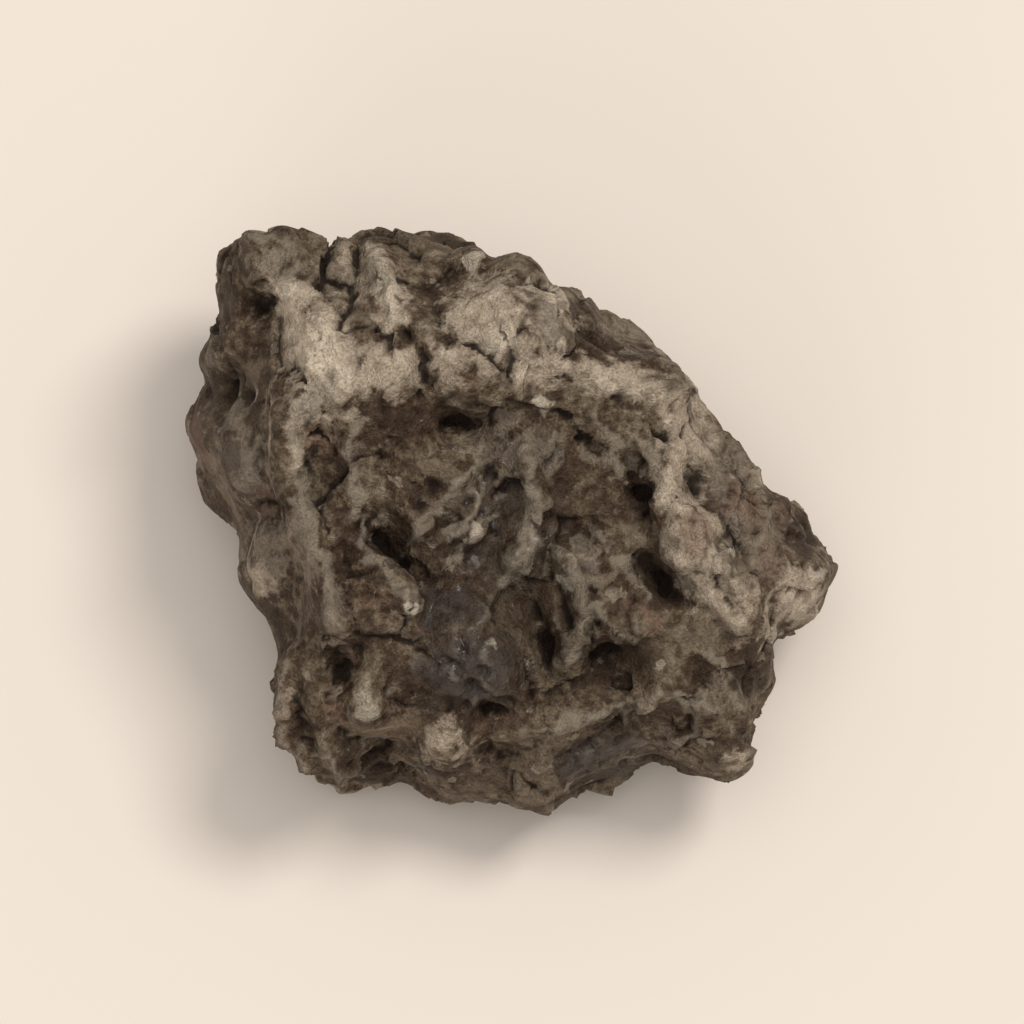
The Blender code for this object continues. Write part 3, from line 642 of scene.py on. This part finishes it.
class Shader:
    """Short words for the nodes of one material."""

    def __init__(self, name):
        self.material = bpy.data.materials.new(name)
        self.material.use_nodes = True
        self.nodes = self.material.node_tree.nodes
        self.links = self.material.node_tree.links
        self.surface = self.nodes["Principled BSDF"]

    def put(self, socket, value):
        if isinstance(value, bpy.types.NodeSocket):
            self.links.new(value, socket)
        elif isinstance(value, tuple) and len(value) == 3 and len(socket.default_value) == 4:
            socket.default_value = (*value, 1)
        else:
            socket.default_value = value

    def object_place(self):
        """The place on the object in millimetres."""
        place = self.nodes.new("ShaderNodeTexCoord").outputs["Object"]
        scale = self.nodes.new("ShaderNodeMapping")
        scale.inputs["Scale"].default_value = (1 / MM, 1 / MM, 1 / MM)
        self.links.new(place, scale.inputs["Vector"])
        return scale.outputs["Vector"]

    def value(self, name):
        """A number that is stored on the stone."""
        read = self.nodes.new("ShaderNodeAttribute")
        read.attribute_name = name
        return read.outputs["Fac"]

    def math(self, operation, *values):
        node = self.nodes.new("ShaderNodeMath")
        node.operation = operation
        for socket, value in zip(node.inputs, values):
            self.put(socket, value)
        return node.outputs[0]

    def vector_math(self, operation, *values):
        node = self.nodes.new("ShaderNodeVectorMath")
        node.operation = operation
        for socket, value in zip(node.inputs, values):
            self.put(socket, value)
        return node

    def noise(self, place, scale, detail, roughness, distortion=0.0):
        node = self.nodes.new("ShaderNodeTexNoise")
        self.links.new(place, node.inputs["Vector"])
        node.inputs["Scale"].default_value = scale
        node.inputs["Detail"].default_value = detail
        node.inputs["Roughness"].default_value = roughness
        node.inputs["Distortion"].default_value = distortion
        return node

    def shifted(self, place, scale, amount):
        """The place, moved about by a noise, so that the edges of a pattern are broken up."""
        shift = self.noise(place, scale, 2, 0.65).outputs["Color"]
        return self.vector_math("MULTIPLY_ADD", shift, (amount,) * 3, place).outputs[0]

    def cells(self, place, scale, feature="F1"):
        node = self.nodes.new("ShaderNodeTexVoronoi")
        node.feature = feature
        self.links.new(place, node.inputs["Vector"])
        node.inputs["Scale"].default_value = scale
        return node

    def inside_cell(self, place, scale, own_number, widest):
        """1 inside each cell of a pattern, with a margin that the cell's own number makes wide."""
        to_edge = self.cells(place, scale, "DISTANCE_TO_EDGE").outputs["Distance"]
        margin = self.math("MULTIPLY", own_number, widest)
        return self.between(self.math("SUBTRACT", to_edge, margin), 0.0, CELL_EDGE)

    def chips(self, place, scale, steepness):
        """Height of a patchwork of small flat chips, each tilted its own way."""
        cells = self.cells(place, scale)
        from_middle = self.vector_math("SUBTRACT", place, cells.outputs["Position"]).outputs[0]
        tilt = self.vector_math("SUBTRACT", cells.outputs["Color"], (0.5, 0.5, 0.5)).outputs[0]
        rise = self.vector_math("DOT_PRODUCT", from_middle, tilt).outputs["Value"]
        return self.math("MULTIPLY", rise, steepness)

    def ramp(self, value, *stops, interpolation="LINEAR"):
        """A colour for each value: stops are (value, colour) or (value, grey)."""
        node = self.nodes.new("ShaderNodeValToRGB")
        node.color_ramp.interpolation = interpolation
        marks = node.color_ramp.elements
        while len(marks) < len(stops):
            marks.new(0.5)
        for mark, (at, colour) in zip(marks, stops):
            mark.position = at
            mark.color = (*colour, 1) if isinstance(colour, tuple) else (*[colour] * 3, 1)
        self.links.new(value, node.inputs["Fac"])
        return node.outputs["Color"]

    def between(self, value, low, high):
        """0 at low, 1 at high, and a smooth step from one to the other."""
        node = self.nodes.new("ShaderNodeMapRange")
        node.interpolation_type = "SMOOTHSTEP"
        self.put(node.inputs["Value"], value)
        node.inputs["From Min"].default_value = low
        node.inputs["From Max"].default_value = high
        return node.outputs["Result"]

    def mix(self, share, first, second, blend="MIX"):
        node = self.nodes.new("ShaderNodeMix")
        node.data_type = "RGBA"
        node.blend_type = blend
        self.put(node.inputs["Factor"], share)
        self.put(node.inputs["A"], first)
        self.put(node.inputs["B"], second)
        return node.outputs["Result"]


def add_broken_pieces(shader, colour, place, pattern):
    """Lay a piece of another rock in some of the cells of a pattern."""
    scale, chosen_from, widest, cover, kinds = pattern
    cells = shader.cells(place, scale)
    own = shader.nodes.new("ShaderNodeSeparateColor")
    shader.links.new(cells.outputs["Color"], own.inputs[0])
    kind = shader.ramp(own.outputs["Green"], *kinds, interpolation="CONSTANT")
    chosen = shader.math("GREATER_THAN", own.outputs["Red"], chosen_from)
    inside = shader.inside_cell(place, scale, own.outputs["Blue"], widest)
    share = shader.math("MULTIPLY", shader.math("MULTIPLY", chosen, inside), cover)
    return shader.mix(share, colour, kind)


def stone_material():
    shader = Shader("lunar breccia")
    place = shader.object_place()
    drifted = shader.shifted(place, *DRIFT)
    shattered = shader.shifted(place, *SHATTER)
    patchy = shader.noise(place, *PATCHY).outputs["Fac"]
    grainy = shader.noise(place, *GRAINY).outputs["Fac"]
    sandy = shader.noise(place, *SANDY).outputs["Fac"]
    blotchy = shader.noise(place, *BLOTCHY).outputs["Fac"]
    ragged = shader.math("MULTIPLY_ADD", grainy, 0.9, -0.45)

    def zone(name, low, high):
        return shader.between(shader.math("ADD", shader.value(name), ragged), low, high)

    def covered(colour, name, rock):
        low, high, cover = COVER[name]
        return shader.mix(shader.math("MULTIPLY", zone(name, low, high), cover), colour, rock)

    # The matrix, from dark brown to grey brown, and its dark, grey and rusty parts. The dark parts
    # are partly painted shade in the pits and the hollow.
    colour = shader.ramp(
        shader.math("MULTIPLY_ADD", grainy, 0.55, shader.math("MULTIPLY", patchy, 0.5)),
        (0.40, DARK_MATRIX), (0.50, BROWN_MATRIX), (0.58, OLIVE_MATRIX), (0.68, GREY_MATRIX),
    )
    colour = covered(colour, "dark", DARK_MATRIX)
    colour = covered(colour, "grey", GREY)
    colour = covered(colour, "rust", RUST)

    # The tan ground, lighter where it lies thick.
    blotches = shader.math("MULTIPLY_ADD", blotchy, 1.3, -1.1)
    crumbly = shader.math("MULTIPLY_ADD", grainy, 0.9, blotches)
    tan_tone = shader.math("ADD", shader.value("tan"), crumbly)
    tan = shader.ramp(tan_tone, (0.25, TAN_SHADE), (0.62, TAN), (1.0, TAN_LIGHT))
    colour = shader.mix(shader.between(tan_tone, 0.12, 0.50), colour, tan)

    # Angular clasts and specks, the dark glaze, and light clasts on top of it, with painted glints
    # on the glaze.
    colour = add_broken_pieces(shader, colour, drifted, CLASTS)
    colour = add_broken_pieces(shader, colour, shattered, SPECKS)
    colour = covered(colour, "glass", GLASS)
    colour = covered(colour, "cream", shader.ramp(grainy, (0.38, TAN_LIGHT), (0.55, CREAM)))

    # Fine mineral grains, painted shade in the pits and wide hollows, and painted highlights on
    # the crests.
    speckle = shader.ramp(sandy, (0.34, 0.62), (0.5, 1.0), (0.66, 1.40))
    colour = shader.mix(0.6, colour, speckle, "MULTIPLY")
    # Painted shade: darker in the pits, and more softly in the wide hollows.
    pit = shader.between(shader.value("pit"), 0.52, 0.84)
    colour = shader.mix(shader.math("MULTIPLY", pit, 0.9), colour, PAINTED_SHADE)
    hollow_shade = shader.between(shader.value("hollow"), 0.52, 0.90)
    colour = shader.mix(shader.math("MULTIPLY", hollow_shade, 0.7), colour, PAINTED_SHADE)
    # Painted highlight on every rise and along the drawn ridges.
    high = shader.math("MULTIPLY", shader.between(shader.value("pit"), 0.40, 0.10), 0.45)
    crest = shader.math("MAXIMUM", high, zone("ridge", 0.30, 0.90))
    colour = shader.mix(shader.math("MULTIPLY", crest, 0.75), colour, CREST_HIGHLIGHT, "LIGHTEN")
    shader.links.new(colour, shader.surface.inputs["Base Color"])

    # Matte rock, and the gloss of the glaze.
    glaze = zone("glass", *COVER["glass"][:2])
    matte = shader.ramp(grainy, (0.35, 0.50), (0.65, 0.80))
    gloss = shader.ramp(sandy, (0.40, 0.22), (0.62, 0.42))
    roughness = shader.mix(shader.math("MULTIPLY", glaze, GLAZE_GLOSS), matte, gloss)
    shader.links.new(roughness, shader.surface.inputs["Roughness"])
    shader.surface.inputs["Specular IOR Level"].default_value = STONE_SPECULAR
    coat = shader.math("MULTIPLY", glaze, GLAZE_COAT)
    shader.links.new(coat, shader.surface.inputs["Coat Weight"])
    shader.surface.inputs["Coat Roughness"].default_value = COAT_ROUGHNESS

    # Grains, sand that the glaze evens out, and two sizes of chips.
    sand_height = shader.math("MULTIPLY_ADD", glaze, -0.25, 0.4)
    sand = shader.math("MULTIPLY", sandy, sand_height)
    height = shader.math("ADD", shader.math("MULTIPLY", grainy, 0.6), sand)
    height = shader.math("ADD", height, shader.chips(drifted, *BROAD_CHIPS))
    height = shader.math("ADD", height, shader.chips(shattered, *SMALL_CHIPS))
    bump = shader.nodes.new("ShaderNodeBump")
    bump.inputs["Strength"].default_value = 1.0
    bump.inputs["Distance"].default_value = BUMP_DEPTH * MM
    shader.links.new(height, bump.inputs["Height"])
    shader.links.new(bump.outputs["Normal"], shader.surface.inputs["Normal"])
    return shader.material


def make_floor():
    shape = bmesh.new()
    bmesh.ops.create_grid(shape, x_segments=1, y_segments=1, size=FLOOR_REACH)
    mesh = bpy.data.meshes.new("floor")
    shape.to_mesh(mesh)
    shape.free()
    floor = bpy.data.objects.new("floor", mesh)
    bpy.context.scene.collection.objects.link(floor)
    shader = Shader("pale floor")
    shader.surface.inputs["Base Color"].default_value = (*FLOOR, 1)
    shader.surface.inputs["Roughness"].default_value = FLOOR_ROUGHNESS
    shader.surface.inputs["Specular IOR Level"].default_value = FLOOR_SPECULAR
    floor.data.materials.append(shader.material)


def softbox(name, place, size, power, colour):
    """A round soft light that points at the stone."""
    light = bpy.data.lights.new(name, "AREA")
    light.shape = "DISK"
    light.size = size
    light.energy = power
    light.color = colour
    lamp = bpy.data.objects.new(name, light)
    lamp.location = place
    lamp.rotation_euler = Vector(place).to_track_quat("Z", "Y").to_euler()
    bpy.context.scene.collection.objects.link(lamp)


def light_stage():
    for light in LIGHTS:
        softbox(*light)
    world = bpy.data.worlds.new("studio")
    world.use_nodes = True
    background = world.node_tree.nodes["Background"]
    background.inputs["Color"].default_value = (*WORLD_COLOUR, 1)
    background.inputs["Strength"].default_value = WORLD_STRENGTH
    scene = bpy.context.scene
    scene.world = world
    scene.view_settings.view_transform = "Standard"


def place_camera():
    camera = bpy.data.objects.new("camera", bpy.data.cameras.new("camera"))
    towards = Vector(view_axes()[2])
    camera.location = (Vector(VIEW_MIDDLE) + towards * VIEW_DISTANCE) * MM
    camera.rotation_euler = towards.to_track_quat("Z", "Y").to_euler()
    camera.data.sensor_width = SENSOR
    camera.data.lens = SENSOR * VIEW_DISTANCE / VIEW_WIDTH
    camera.data.clip_start = 0.01
    camera.data.clip_end = 10
    bpy.context.scene.collection.objects.link(camera)
    bpy.context.scene.camera = camera


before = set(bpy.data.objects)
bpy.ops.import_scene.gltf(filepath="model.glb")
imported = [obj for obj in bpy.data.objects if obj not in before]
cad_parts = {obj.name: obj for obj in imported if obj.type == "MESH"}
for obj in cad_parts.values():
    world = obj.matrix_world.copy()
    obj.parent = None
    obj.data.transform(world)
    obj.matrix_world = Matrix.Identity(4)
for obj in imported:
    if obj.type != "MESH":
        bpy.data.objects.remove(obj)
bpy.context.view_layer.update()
stone = even_skin(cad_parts["stone"])
finish_stone(stone)
stone.data.materials.append(stone_material())
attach(stone, "root")
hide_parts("stone")
make_floor()
light_stage()
place_camera()
